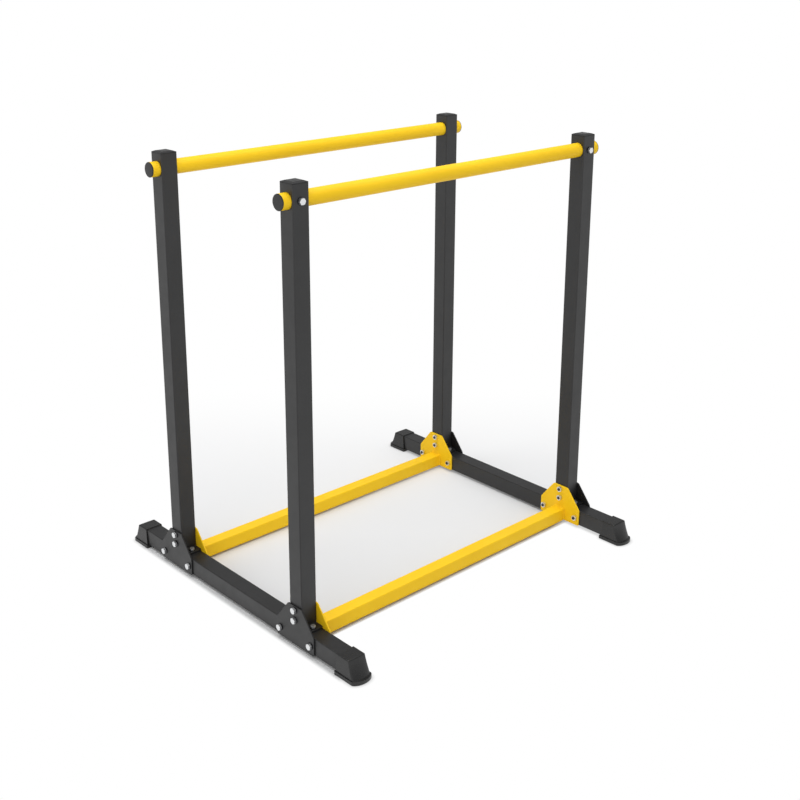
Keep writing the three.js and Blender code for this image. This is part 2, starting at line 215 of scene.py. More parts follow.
def moulded(name, dark, light, roughness, specular, grain_scale, relief):
    """Moulded rubber or plastic with a spark-eroded grain."""
    material, tree, shader, place = principled(name)
    link = tree.links.new
    drift = noise(tree, place, MOULD_DRIFT_SCALE, detail=3.0)
    tone = ramp(tree, drift, NOISE_LOW, NOISE_HIGH)
    link(tint(tree, tone, dark, light), shader.inputs["Base Color"])
    rub = noise(tree, place, RUB_SCALE, detail=4.0, roughness=0.6)
    gloss = ramp(tree, rub, NOISE_LOW, NOISE_HIGH, roughness - RUB_SWING, roughness + RUB_SWING)
    link(gloss, shader.inputs["Roughness"])
    shader.inputs["Specular IOR Level"].default_value = specular
    cells = add(tree, "ShaderNodeTexVoronoi", Scale=grain_scale)
    link(place, cells.inputs["Vector"])
    link(bump(tree, cells.outputs["Distance"], relief, MOULD_STRENGTH), shader.inputs["Normal"])
    return material


def plated(name, colour, shade, roughness):
    """Plated metal with a faint crystalline mottle and fine scratches."""
    material, tree, shader, place = principled(name)
    link = tree.links.new
    mottle = noise(tree, place, MOTTLE_SCALE, detail=3.0, roughness=0.6)
    tone = ramp(tree, mottle, MOTTLE_LOW, MOTTLE_HIGH)
    link(tint(tree, tone, shade, colour), shader.inputs["Base Color"])
    gloss = ramp(tree, mottle, NOISE_LOW, NOISE_HIGH, roughness + DULLER, roughness - GLOSSIER)
    link(gloss, shader.inputs["Roughness"])
    shader.inputs["Metallic"].default_value = 1.0
    scratch = noise(tree, place, SCRATCH_SCALE)
    link(bump(tree, scratch, SCRATCH_DEPTH, SCRATCH_STRENGTH), shader.inputs["Normal"])
    return material


BLACK = powder_coat("black_powder_coat", (0.0115, 0.0115, 0.012), (0.0148, 0.0148, 0.0153),
                    roughness=0.42, specular=0.5, peel=0.5)
YELLOW = powder_coat("yellow_powder_coat", (0.90, 0.56, 0.009), (0.94, 0.60, 0.012),
                     roughness=0.5, specular=0.2, peel=0.4)
ZINC = plated("zinc_plate", (0.82, 0.83, 0.84), (0.74, 0.75, 0.76), roughness=0.42)
# The thread tails are coloured darker than the plated heads and nuts.
DARK_ZINC = plated("dark_thread_steel", (0.09, 0.09, 0.095), (0.05, 0.05, 0.055), roughness=0.4)
# The washers are a real part; their near-black colour is a painted shadow ring round each bolt head.
SHADOW_BLACK_WASHER = plated("shadow_black_washer", (0.06, 0.06, 0.065), (0.03, 0.03, 0.033), roughness=0.45)
RUBBER = moulded("shoe_rubber", (0.0105, 0.0105, 0.0105), (0.0135, 0.0135, 0.0135),
                 roughness=0.3, specular=0.45, grain_scale=1500.0, relief=0.018 * MM)
PLASTIC = moulded("plug_plastic", (0.0105, 0.0105, 0.011), (0.0135, 0.0135, 0.014),
                  roughness=0.42, specular=0.42, grain_scale=2200.0, relief=0.03 * MM)


# Outlines

CORNER_LIMIT_SHARE = 0.9


def rounded_rectangle(width, height, radius, steps):
    """Points of a rectangle with round corners, counter-clockwise, round the origin."""
    points = []
    for corner in range(4):
        start = corner * math.pi / 2
        sx = 1 if corner in (0, 3) else -1
        sy = 1 if corner in (0, 1) else -1
        for step in range(steps + 1):
            angle = start + step / steps * math.pi / 2
            x = sx * (width / 2 - radius) + radius * math.cos(angle)
            y = sy * (height / 2 - radius) + radius * math.sin(angle)
            points.append((x, y))
    return points


def circle(radius, steps):
    return [(radius * math.cos(2 * math.pi * i / steps), radius * math.sin(2 * math.pi * i / steps))
            for i in range(steps)]


def round_corners(outline, reaches, steps):
    """The outline with a curve at each corner that has a reach, which is its length along both edges."""
    points = []
    for i, here in enumerate(outline):
        if i not in reaches:
            points.append(here)
            continue
        corner = Vector(here)
        before = Vector(outline[i - 1]) - corner
        after = Vector(outline[(i + 1) % len(outline)]) - corner
        start = corner + before.normalized() * min(reaches[i], before.length * CORNER_LIMIT_SHARE)
        end = corner + after.normalized() * min(reaches[i], after.length * CORNER_LIMIT_SHARE)
        for step in range(steps + 1):
            t = step / steps
            point = start * (1 - t) ** 2 + corner * 2 * t * (1 - t) + end * t ** 2
            points.append((point.x, point.y))
    return points


def inset(points, distance):
    """The convex outline drawn in by a distance along its vertex normals."""
    drawn_in = []
    count = len(points)
    for i, point in enumerate(points):
        a = Vector(points[i - 1])
        b = Vector(points[(i + 1) % count])
        along = (b - a).normalized()
        inward = Vector((-along.y, along.x))
        drawn_in.append((point[0] + inward.x * distance, point[1] + inward.y * distance))
    return drawn_in


def at_height(points, z):
    return [(x, y, z) for x, y in points]


# Meshes

TO_X = Matrix.Rotation(math.pi / 2, 4, "Y")
TO_MINUS_X = Matrix.Rotation(-math.pi / 2, 4, "Y")
TO_Y = Matrix.Rotation(math.pi / 2, 4, "X")
TO_MINUS_Z = Matrix.Rotation(math.pi, 4, "X")
HALF_TURN = Matrix.Rotation(math.pi, 4, "Z")
STRAIGHT = Matrix.Identity(4)


def skin(rings, closed=False):
    """A mesh through rings of equal length. Its ends are capped, or joined to each other when closed."""
    mesh = bmesh.new()
    loops = [[mesh.verts.new(point) for point in ring] for ring in rings]
    pairs = list(zip(loops, loops[1:]))
    if closed:
        pairs.append((loops[-1], loops[0]))
    for lower, upper in pairs:
        count = len(lower)
        for i in range(count):
            j = (i + 1) % count
            mesh.faces.new((lower[i], lower[j], upper[j], upper[i]))
    if not closed:
        mesh.faces.new(list(reversed(loops[0])))
        mesh.faces.new(loops[-1])
    bmesh.ops.recalc_face_normals(mesh, faces=mesh.faces)
    return mesh


def slab(outline, thickness, rounding=EDGE_ROUND, steps=3):
    """A plate along Z from zero, with both rims rounded."""
    rings = []
    for step in range(steps + 1):
        angle = step / steps * math.pi / 2
        ring = inset(outline, rounding * (1 - math.sin(angle)))
        rings.append(at_height(ring, rounding * (1 - math.cos(angle))))
    for step in range(steps + 1):
        angle = step / steps * math.pi / 2
        ring = inset(outline, rounding * (1 - math.cos(angle)))
        rings.append(at_height(ring, thickness - rounding * (1 - math.sin(angle))))
    return skin(rings)


def pipe(outer, inner, length):
    """A hollow section along Z, centred, with its outer end edges rounded."""
    half = length / 2
    soft = EDGE_SHARE * EDGE_ROUND
    rings = [
        at_height(inner, -half),
        at_height(inset(outer, EDGE_ROUND), -half),
        at_height(inset(outer, soft), soft - half),
        at_height(outer, EDGE_ROUND - half),
        at_height(outer, half - EDGE_ROUND),
        at_height(inset(outer, soft), half - soft),
        at_height(inset(outer, EDGE_ROUND), half),
        at_height(inner, half),
    ]
    return skin(rings, closed=True)


def square_pipe(side, wall, radius, length):
    outer = rounded_rectangle(side, side, radius, TUBE_CORNER_STEPS)
    inner = rounded_rectangle(side - 2 * wall, side - 2 * wall, radius - wall / 2, TUBE_CORNER_STEPS)
    return pipe(outer, inner, length)


def lathe(profile, steps):
    """A mesh turned round Z from (radius, height) points that start and end on the axis."""
    mesh = bmesh.new()
    rows = []
    for radius, height in profile:
        if radius == 0:
            rows.append([mesh.verts.new((0, 0, height))])
        else:
            rows.append([mesh.verts.new((x, y, height)) for x, y in circle(radius, steps)])
    for lower, upper in zip(rows, rows[1:]):
        for i in range(steps):
            j = (i + 1) % steps
            corners = [lower[i % len(lower)], lower[j % len(lower)],
                       upper[j % len(upper)], upper[i % len(upper)]]
            mesh.faces.new(list(dict.fromkeys(corners)))
    bmesh.ops.recalc_face_normals(mesh, faces=mesh.faces)
    return mesh


def joined(*meshes):
    """One mesh that holds several closed shells."""
    whole = bmesh.new()
    for part in meshes:
        holder = bpy.data.meshes.new("holder")
        part.to_mesh(holder)
        part.free()
        whole.from_mesh(holder)
        bpy.data.meshes.remove(holder)
    return whole


def moved(mesh, matrix):
    mesh.transform(matrix)
    return mesh


def pointing(place, way, up="X"):
    """A move of the origin to a place, with a turn of +Z to a way."""
    return Matrix.Translation(place) @ Vector(way).to_track_quat("Z", up).to_matrix().to_4x4()


def placed(name, mesh):
    """A new object in the scene that holds the mesh."""
    data = bpy.data.meshes.new(name)
    mesh.to_mesh(data)
    mesh.free()
    made = bpy.data.objects.new(name, data)
    bpy.context.scene.collection.objects.link(made)
    return made


def boolean(operation, first, second):
    """One closed mesh out of two, by a DIFFERENCE or a UNION."""
    objects = [placed("first", first), placed("second", second)]
    modifier = objects[0].modifiers.new("boolean", "BOOLEAN")
    modifier.operation = operation
    modifier.solver = "EXACT"
    modifier.object = objects[1]
    result = bmesh.new()
    result.from_object(objects[0], bpy.context.evaluated_depsgraph_get())
    for made in objects:
        data = made.data
        bpy.data.objects.remove(made)
        bpy.data.meshes.remove(data)
    return result


def drilled(mesh, cutters):
    """The mesh with cutting meshes taken out of it."""
    return boolean("DIFFERENCE", mesh, joined(*cutters))


def drill(turn, diameter, centre, length, steps=CUT_STEPS):
    """A cylinder that cuts a hole round a centre, along Z after a turn."""
    mesh = skin([at_height(circle(diameter / 2, steps), z) for z in (-length / 2, length / 2)])
    return moved(mesh, Matrix.Translation(centre) @ turn)


def bolt_hole(turn, size, centre, length):
    return drill(turn, size["shank"] + 2 * HOLE_GAP, centre, length)


# Pieces and where the frame has them

SMOOTH_ANGLE = math.radians(32)


def piece(name, mesh, material, slot, *stands_for):
    """Links a mesh as a piece that rides on the frame and stands for the named nodes."""
    made = placed(name, mesh)
    data = made.data
    data.materials.append(material)
    data.polygons.foreach_set("use_smooth", [True] * len(data.polygons))
    data.set_sharp_from_angle(angle=SMOOTH_ANGLE)
    made.modifiers.new("even_normals", "WEIGHTED_NORMAL").keep_sharp = True
    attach(made, "root")
    if stands_for:
        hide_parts(*stands_for)


def middle_and_size(node):
    low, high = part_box(node)
    return (low + high) / 2, high - low


beam_middle, beam_size = middle_and_size("floor_beam_front")
TUBE_SIDE = beam_size.y
BEAM_TOP = beam_middle.z + beam_size.z / 2
upright_low, upright_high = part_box("upright_front_right")
UPRIGHT_X = (upright_low.x + upright_high.x) / 2
UPRIGHT_Y = -(upright_low.y + upright_high.y) / 2
bar_middle, bar_size = middle_and_size("bar_right")
_, plate_size = middle_and_size("gusset_plate_front_right")
_, cross_size = middle_and_size("cross_tube_right")


def corner_origin(end, side):
    """The upright's axis at floor height."""
    return Vector((side * UPRIGHT_X, end * UPRIGHT_Y, 0))


# Welds

WELD_LEG = 3.4 * MM
WELD_SINK = 0.2 * MM
WELD_RIPPLE = 2.6 * MM
WELD_RIPPLE_SHARE = 0.10
WELD_BODY_SHARE = 0.82
WELD_CROWN_SHARE = 0.1
WELD_CURVE = 1.4
WELD_STEPS = 6
WELD_SPACING = 0.5 * MM


def weld_bead(path):
    """A rippled fillet bead along a path of (point, away, up) with the corner at each point."""
    rings = []
    length = 0.0
    last = Vector(path[0][0])
    for point, away, up in path:
        point, away, up = Vector(point), Vector(away), Vector(up)
        length += (point - last).length
        last = point
        swell = WELD_LEG * (1 + WELD_RIPPLE_SHARE * math.sin(2 * math.pi * length / WELD_RIPPLE) ** 3)
        ring = [point - (away + up) * WELD_SINK]
        for step in range(WELD_STEPS + 1):
            angle = step / WELD_STEPS * math.pi / 2
            bulge = swell * (WELD_BODY_SHARE + WELD_CROWN_SHARE * math.sin(2 * angle))
            ring.append(point + away * bulge * math.cos(angle) ** WELD_CURVE
                        + up * bulge * math.sin(angle) ** WELD_CURVE)
        rings.append([tuple(corner) for corner in ring])
    return skin(rings)


def straight(start, end, away, up):
    """A straight path for a bead."""
    count = max(2, round((end - start).length / WELD_SPACING))
    return [(start.lerp(end, i / count), away, up) for i in range(count + 1)]


# Tubes

def floor_beams():
    for end_name in ENDS:
        node = "floor_beam_" + end_name
        middle, size = middle_and_size(node)
        tube = square_pipe(TUBE_SIDE, TUBE_WALL, TUBE_RADIUS, size.x)
        cuts = []
        for side_name in SIDES:
            for name in ("inner", "outer"):
                bolt, _ = middle_and_size(f"foot_bolt_{name}_{end_name}_{side_name}")
                cuts.append(bolt_hole(STRAIGHT, M8, (bolt.x, bolt.y, BEAM_TOP), 2 * CUT_MARGIN))
                through, _ = middle_and_size(f"plate_bolt_{name}_{end_name}_{side_name}")
                cuts.append(bolt_hole(TO_Y, M10, through, TUBE_SIDE + 2 * CUT_MARGIN))
        beam = drilled(moved(tube, Matrix.Translation(middle) @ TO_X), cuts)
        piece("fine_" + node, beam, BLACK, "black_coat", node)


def uprights():
    half = TUBE_SIDE / 2
    bead_half = half - TUBE_RADIUS
    for corner, end, side in CORNERS:
        node = "upright_" + corner
        low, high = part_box(node)
        origin = corner_origin(end, side)
        foot_top = low.z + FOOT_PLATE_THICKNESS
        length = high.z - foot_top
        tube = moved(square_pipe(TUBE_SIDE, TUBE_WALL, TUBE_RADIUS, length),
                     Matrix.Translation(origin + Vector((0, 0, foot_top + length / 2))))
        bar_place = origin + Vector((0, 0, bar_middle.z))
        cuts = [
            drill(TO_Y, bar_size.x + 2 * BAR_HOLE_GAP, bar_place, TUBE_SIDE + 2 * CUT_MARGIN, BAR_STEPS),
            bolt_hole(TO_X, M10, bar_place + Vector((side * half, 0, 0)), 2 * CUT_MARGIN),
        ]
        for name in ("first", "second"):
            bolt, _ = middle_and_size(f"plate_bolt_{name}_{corner}")
            cuts.append(bolt_hole(TO_Y, M10, bolt, TUBE_SIDE + 2 * CUT_MARGIN))
        foot_outline = rounded_rectangle(high.x - low.x, TUBE_SIDE, FOOT_PLATE_CORNER,
                                         FOOT_PLATE_CORNER_STEPS)
        foot = moved(slab(foot_outline, FOOT_PLATE_THICKNESS),
                     Matrix.Translation(origin + Vector((0, 0, low.z))))
        beads = []
        for way in (-1, 1):
            path = straight(origin + Vector((way * half, -bead_half, foot_top)),
                            origin + Vector((way * half, bead_half, foot_top)), (way, 0, 0), (0, 0, 1))
            beads.append(weld_bead(path))
        piece("fine_" + node, joined(drilled(tube, cuts), foot, *beads), BLACK, "black_coat", node)


def cross_tubes():
    for side_name in SIDES:
        node = "cross_tube_" + side_name
        middle, size = middle_and_size(node)
        half = size.x / 2
        flat = half - CROSS_RADIUS
        tube = moved(square_pipe(size.x, TUBE_WALL, CROSS_RADIUS, size.y), Matrix.Translation(middle) @ TO_Y)
        beads = []
        for end in (-1, 1):
            corner = middle + Vector((0, end * size.y / 2, 0))
            inward = (0, -end, 0)
            for way in (-1, 1):
                wall = straight(corner + Vector((way * half, 0, -flat)),
                                corner + Vector((way * half, 0, flat)), (way, 0, 0), inward)
                beads.append(weld_bead(wall))
            roof = straight(corner + Vector((-flat, 0, half)), corner + Vector((flat, 0, half)),
                            (0, 0, 1), inward)
            beads.append(weld_bead(roof))
        piece("fine_" + node, joined(tube, *beads), YELLOW, "yellow_coat", node)


def bars():
    for side_name in SIDES:
        node = "bar_" + side_name
        middle, size = middle_and_size(node)
        tube = pipe(circle(size.x / 2, BAR_STEPS), circle(size.x / 2 - TUBE_WALL, BAR_STEPS), size.y)
        piece("fine_" + node, moved(tube, Matrix.Translation(middle) @ TO_Y), YELLOW, "yellow_coat", node)


# Plates

PLATE_HEAD_SHARE = 56 / 156
PLATE_SHOULDER_SHARE = 52 / 115
PLATE_CORNER_REACH = 5 * MM
PLATE_CORNER_STEPS = 6
PLATE_ROUND = 1.1 * MM
PLATE_ROUND_STEPS = 5


def plate_outline():
    foot = plate_size.x / 2
    head = foot * PLATE_HEAD_SHARE
    shoulder = plate_size.z * PLATE_SHOULDER_SHARE
    corners = [(-foot, 0), (foot, 0), (foot, shoulder), (head, plate_size.z), (-head, plate_size.z),
               (-foot, shoulder)]
    reaches = dict.fromkeys(range(len(corners)), PLATE_CORNER_REACH)
    return round_corners(corners, reaches, PLATE_CORNER_STEPS)


def plates():
    kinds = [("gusset_plate_", BLACK, "black_coat"), ("end_plate_", YELLOW, "yellow_coat")]
    for kind, material, slot in kinds:
        for corner, _, _ in CORNERS:
            node = kind + corner
            low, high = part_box(node)
            middle = (low + high) / 2
            blank = moved(slab(plate_outline(), high.y - low.y, PLATE_ROUND, PLATE_ROUND_STEPS),
                          Matrix.Translation((middle.x, high.y, low.z)) @ TO_Y)
            cuts = []
            for name in ("first", "second", "inner", "outer"):
                bolt, _ = middle_and_size(f"plate_bolt_{name}_{corner}")
                cuts.append(bolt_hole(TO_Y, M10, (bolt.x, middle.y, bolt.z), 3 * CUT_MARGIN))
            piece("fine_" + node, drilled(blank, cuts), material, slot, node)


# Bolts

HEX_STEPS = 36
CHAMFER_SLOPE = math.tan(math.radians(30))
CHAMFER_SHARE = 0.96
TOP_RING_SHARE = 0.985
TOP_RISE = 0.02 * MM
DISH_RIM_SHARE = 0.72
DISH_FLOOR_SHARE = 0.62
DISH_CENTRE_SHARE = 0.3
HEAD_OVERLAP = 0.5 * MM
NUT_BORE_GAP = 0.1 * MM
SMOOTH_SHARE = 0.5
THREAD_STEPS = 40
THREAD_ROWS = 10
THREAD_DEPTH_SHARE = 0.61
THREAD_CREST = 1.15
THREAD_TIP = 0.8 * MM
WASHER_STEPS = 48
WASHER_EDGE = 0.25 * MM


def hexagon_ring(across, limit, height, slope):
    """Points round a hexagon at a height. Those beyond the limit's circle lie lower by the slope."""
    ring = []
    for i in range(HEX_STEPS):
        angle = 2 * math.pi * i / HEX_STEPS
        from_flat = (angle % (math.pi / 3)) - math.pi / 6
        radius = across / 2 / math.cos(from_flat)
        drop = max(0.0, radius - limit) * slope
        ring.append((radius * math.cos(angle), radius * math.sin(angle), height - drop))
    return ring


def hex_prism(across, height, dished=0.0, chamfer_foot=False):
    """A chamfered hexagon along Z from zero. A dished one has a shallow round hollow in its top."""
    limit = across / 2 * CHAMFER_SHARE
    rings = []
    if chamfer_foot:
        rings.append(at_height(circle(limit, HEX_STEPS), 0))
        rings.append(hexagon_ring(across, limit, 0, -CHAMFER_SLOPE))
    else:
        rings.append(hexagon_ring(across, limit, 0, 0))
    rings.append(hexagon_ring(across, limit, height, CHAMFER_SLOPE))
    rings.append(at_height(circle(limit * TOP_RING_SHARE, HEX_STEPS), height + TOP_RISE))
    if dished:
        rings.append(at_height(circle(limit * DISH_RIM_SHARE, HEX_STEPS), height))
        rings.append(at_height(circle(limit * DISH_FLOOR_SHARE, HEX_STEPS), height - dished))
        rings.append(at_height(circle(limit * DISH_CENTRE_SHARE, HEX_STEPS), height - dished))
    return skin(rings)


def threaded(diameter, pitch, length):
    """A threaded rod along Z from zero to its length, with a chamfered tip."""
    depth = THREAD_DEPTH_SHARE * pitch
    count = max(2, math.ceil(length / pitch * THREAD_ROWS))
    rings = []
    for row in range(count + 1):
        z = length * row / count
        ring = []
        for i in range(THREAD_STEPS):
            turn = i / THREAD_STEPS
            phase = (z / pitch - turn) % 1.0
            ridge = 1 - abs(2 * phase - 1)
            radius = diameter / 2 - depth * (1 - min(1.0, ridge * THREAD_CREST))
            radius = min(radius, diameter / 2 - max(0.0, z - (length - THREAD_TIP)))
            ring.append((radius * math.cos(2 * math.pi * turn), radius * math.sin(2 * math.pi * turn), z))
        rings.append(ring)
    return skin(rings)


def ring_washer(size):
    """A flat ring along Z from zero with worn edges."""
    outer = size["washer"] / 2
    bore = size["shank"] / 2 + HOLE_GAP
    height = size["washer_height"]
    profile = [(bore, 0), (outer - WASHER_EDGE, 0), (outer, WASHER_EDGE), (outer, height - WASHER_EDGE),
               (outer - WASHER_EDGE, height), (bore, height)]
    return skin([at_height(circle(radius, WASHER_STEPS), z) for radius, z in profile], closed=True)


def set_bolt(node, size, facing, tail, nut_seat=None):
    """Pieces of one bolt. facing turns +Z to the way that the head points, with the bearing plane at zero.

    tail is how far the shank reaches behind the bearing plane, and nut_seat where a nut bears.
    """
    head = moved(hex_prism(size["across"], size["head"], size["dish"]),
                 facing @ Matrix.Translation((0, 0, size["washer_height"])))
    smooth_end = -(nut_seat or tail * SMOOTH_SHARE)
    shank_ends = (smooth_end, size["washer_height"] + HEAD_OVERLAP)
    shank = skin([at_height(circle(size["shank"] / 2, THREAD_STEPS), z) for z in shank_ends])
    piece("head_" + node, joined(head, moved(shank, facing)), ZINC, "zinc", node)
    # The washer's near-black colour is a painted shadow ring round the head.
    piece("washer_" + node, moved(ring_washer(size), facing), SHADOW_BLACK_WASHER, "zinc")
    thread = threaded(size["shank"], size["pitch"], tail + smooth_end)
    place = facing @ Matrix.Translation((0, 0, smooth_end)) @ TO_MINUS_Z
    piece("thread_" + node, moved(thread, place), DARK_ZINC, "zinc")
    if nut_seat:
        nut = hex_prism(size["across"], size["nut"], chamfer_foot=True)
        bore = drill(STRAIGHT, size["shank"] - NUT_BORE_GAP, (0, 0, size["nut"] / 2), 2 * size["nut"])
        place = facing @ Matrix.Translation((0, 0, -nut_seat)) @ TO_MINUS_Z
        piece("nut_" + node, moved(drilled(nut, [bore]), place), ZINC, "zinc")


def bolts():
    for corner, end, side in CORNERS:
        bearing = abs(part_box("gusset_plate_" + corner)[0 if end < 0 else 1].y)
        inner_face = abs(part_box("end_plate_" + corner)[1 if end < 0 else 0].y)
        for name in ("first", "second", "inner", "outer"):
            node = f"plate_bolt_{name}_{corner}"
            low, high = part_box(node)
            reach = (high.y - low.y) - M10["washer_height"] - M10["head"]
            origin = ((low.x + high.x) / 2, end * (bearing + SEAT_GAP), (low.z + high.z) / 2)
            set_bolt(node, M10, pointing(origin, (0, end, 0)), reach, bearing - inner_face + 2 * SEAT_GAP)
        for name in ("inner", "outer"):
            node = f"foot_bolt_{name}_{corner}"
            low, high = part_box(node)
            top = high.z - M8["washer_height"] - M8["head"]
            origin = ((low.x + high.x) / 2, (low.y + high.y) / 2, top)
            set_bolt(node, M8, Matrix.Translation(origin), top - low.z)
        node = "bar_bolt_" + corner
        low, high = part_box(node)
        reach = (high.x - low.x) - M10["washer_height"] - M10["head"]
        outer_x = max(abs(low.x), abs(high.x)) - M10["washer_height"] - M10["head"]
        origin = (side * outer_x, (low.y + high.y) / 2, (low.z + high.z) / 2)
        set_bolt(node, M10, pointing(origin, (side, 0, 0), "Y"), reach)


# Plugs

PLUG_RIM = 2 * MM
PLUG_FOOT_EDGE = 0.4 * MM
PLUG_WALL = 2.5 * MM
PLUG_CROWN_INSET = 8.5 * MM
PLUG_CORNER_SHARE = 0.35
PLUG_CORNER_LEAST = 1.0 * MM

# How far each ring is drawn in, and how far it lies over the rim
PLUG_RIM_RINGS = [(0, -0.5 * MM), (0.15 * MM, -0.15 * MM), (0.6 * MM, 0.1 * MM)]

# How far each ring is drawn in past the crown's inset, and how far it lies under the top
PLUG_CROWN_RINGS = [(-0.8 * MM, 0.25 * MM), (0, 0.06 * MM), (1.2 * MM, 0)]


def upright_plugs():
    for corner, end, side in CORNERS:
        node = "upright_plug_" + corner
        low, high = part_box(node)
        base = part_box("upright_" + corner)[1].z + SEAT_GAP
        origin = corner_origin(end, side)
        sections = [(PLUG_FOOT_EDGE, base), (0, base + PLUG_FOOT_EDGE)]
        sections += [(shrink, base + PLUG_RIM + over) for shrink, over in PLUG_RIM_RINGS]
        sections += [(PLUG_CROWN_INSET + shrink, high.z - under) for shrink, under in PLUG_CROWN_RINGS]
        rings = []
        for shrink, z in sections:
            width = TUBE_SIDE - 2 * shrink
            radius = max(PLUG_CORNER_LEAST, TUBE_RADIUS - PLUG_CORNER_SHARE * shrink)
            rings.append([(origin.x + x, origin.y + y, z)
                          for x, y in rounded_rectangle(width, width, radius, TUBE_CORNER_STEPS)])
        depth = base - low.z
        inside = TUBE_SIDE - 2 * TUBE_WALL - 2 * HOLE_GAP
        insert = moved(square_pipe(inside, PLUG_WALL, TUBE_RADIUS - TUBE_WALL / 2, depth),
                       Matrix.Translation(origin + Vector((0, 0, base - depth / 2))))
        piece("fine_" + node, joined(skin(rings), insert), PLASTIC, "plug_plastic", node)


# Caps

CAP_EDGE = 1.8 * MM
CAP_EDGE_STEPS = 7
CAP_EDGE_DROP = 0.3 * MM
CAP_SEAT_EDGE = 0.2 * MM

# The cap's face as shares of its radius, with how far each place lies under the middle
CAP_FACE_SHARES = [(0, 0), (0.55, 0.05 * MM), (0.8, 0.25 * MM)]


def bar_caps():
    for corner, end, side in CORNERS:
        node = "bar_cap_" + corner
        low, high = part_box(node)
        middle = (low + high) / 2
        radius = (high.x - low.x) / 2
        face = max(abs(low.y), abs(high.y))
        seat = abs(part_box("bar_" + ("left" if side < 0 else "right"))[0].y) + SEAT_GAP
        rim = face - seat
        insert = radius - TUBE_WALL - HOLE_GAP
        depth = high.y - low.y - rim
        profile = [(radius * share, rim - under) for share, under in CAP_FACE_SHARES]
        for step in range(CAP_EDGE_STEPS + 1):
            angle = step / CAP_EDGE_STEPS * math.pi / 2
            profile.append((radius - CAP_EDGE + CAP_EDGE * math.sin(angle),
                            rim - CAP_EDGE_DROP - CAP_EDGE * (1 - math.cos(angle))))
        profile += [(radius, CAP_SEAT_EDGE), (radius - CAP_SEAT_EDGE, 0), (insert, 0), (insert, -depth),
                    (insert - TUBE_WALL, -depth), (insert - TUBE_WALL, -TUBE_WALL), (0, -TUBE_WALL)]
        place = pointing((middle.x, end * seat, middle.z), (0, end, 0))
        piece("fine_" + node, moved(lathe(profile, BAR_STEPS), place), PLASTIC, "plug_plastic", node)


# Shoes

SHOE_WALL = 2.5 * MM
SHOE_FLOOR_GAP = 1 * MM
SHOE_RIM_LEAN = 6 * MM
SHOE_RIM_SHARE = 0.25
SHOE_END_LEAN = 18.5 * MM
SHOE_END_HOLLOW = 1.3
SHOE_END_WALL = 8.5 * MM
SHOE_TOP_BOW = 0.6 * MM
SHOE_FOOT_BOW = 12 * MM
SHOE_BOW_SHARE = 0.62
SHOE_FOOT_SHARE = 0.98
SHOE_FLARE = 3 * MM
SHOE_SOLE = 10.5 * MM
SHOE_SOLE_ROUND = 1.1 * MM
SHOE_SOLE_STEPS = 4
SHOE_LIP = 2.4 * MM
SHOE_BOW = 15 * MM
SHOE_ROUND = 3.2 * MM
SHOE_EDGE = 3.2 * MM
SHOE_RIM_EDGE = 1.2 * MM
SHOE_SOLE_EDGE = 3.5 * MM
SHOE_WALL_STEPS = 12
SHOE_ROUND_STEPS = 6
SHOE_EDGE_STEPS = 5
SHOE_PLAN_STEPS = 6
POCKET_CORNER_STEPS = 4
BOW_STEPS = 28


def bowed_edge(x, half, bow, share):
    """Points of a curved edge across a shoe, from -Y to +Y, which stands out by the bow in its middle."""
    crest = x + bow * 4 / 3
    handle = share * half
    points = []
    for step in range(BOW_STEPS + 1):
        t = step / BOW_STEPS
        a, b, c, d = (1 - t) ** 3, 3 * t * (1 - t) ** 2, 3 * t * t * (1 - t), t ** 3
        points.append((a * x + b * crest + c * crest + d * x, -a * half - b * handle + c * handle + d * half))
    return points


def shoe_body(inner, top):
    """The hood over the beam's end, from just above the floor up to its rounded top."""
    half = TUBE_SIDE / 2 + HOLE_GAP + SHOE_WALL
    wall = top - SHOE_ROUND - SHOE_FLOOR_GAP
    stations = [(SHOE_FLOOR_GAP + wall * step / SHOE_WALL_STEPS, 0.0) for step in range(SHOE_WALL_STEPS)]
    for step in range(SHOE_ROUND_STEPS + 1):
        angle = step / SHOE_ROUND_STEPS * math.pi / 2
        stations.append((top - SHOE_ROUND * (1 - math.sin(angle)), SHOE_ROUND * (1 - math.cos(angle))))
    rings = []
    for height, drawn_in in stations:
        rise = height / top
        wide = half + (1 - rise) * SHOE_FLARE - drawn_in
        rim = inner + rise * SHOE_RIM_LEAN + SHOE_RIM_SHARE * drawn_in
        face = SHOE_END_WALL + (1 - rise) ** SHOE_END_HOLLOW * SHOE_END_LEAN - drawn_in
        bow = rise * SHOE_TOP_BOW + (1 - rise) * SHOE_FOOT_BOW
        share = rise * SHOE_BOW_SHARE + (1 - rise) * SHOE_FOOT_SHARE
        outline = [(rim, wide), (rim, -wide)] + bowed_edge(face, wide, bow, share)
        reaches = {0: SHOE_RIM_EDGE, 1: SHOE_RIM_EDGE, 2: SHOE_EDGE, len(outline) - 1: SHOE_EDGE}
        rings.append(at_height(round_corners(outline, reaches, SHOE_EDGE_STEPS), height))
    return skin(rings)


def shoe_sole(inner):
    """The flat sole, wider than the hood all round."""
    half = TUBE_SIDE / 2 + HOLE_GAP + SHOE_WALL + SHOE_FLARE + SHOE_LIP
    plan = [(inner, half), (inner, -half)]
    plan += bowed_edge(SHOE_END_WALL + SHOE_END_LEAN, half, SHOE_BOW, SHOE_BOW_SHARE)
    reaches = dict.fromkeys((0, 1, 2, len(plan) - 1), SHOE_SOLE_EDGE)
    return slab(round_corners(plan, reaches, SHOE_PLAN_STEPS), SHOE_SOLE, SHOE_SOLE_ROUND, SHOE_SOLE_STEPS)


def shoe_pocket(inner):
    """The space that the beam's end takes up, open towards the beam."""
    side = TUBE_SIDE + 2 * HOLE_GAP
    opening = rounded_rectangle(side, side, TUBE_RADIUS, POCKET_CORNER_STEPS)
    pocket = skin([at_height(opening, z) for z in (0, CUT_MARGIN - inner)])
    return moved(pocket, Matrix.Translation((SEAT_GAP, 0, beam_middle.z)) @ TO_MINUS_X)


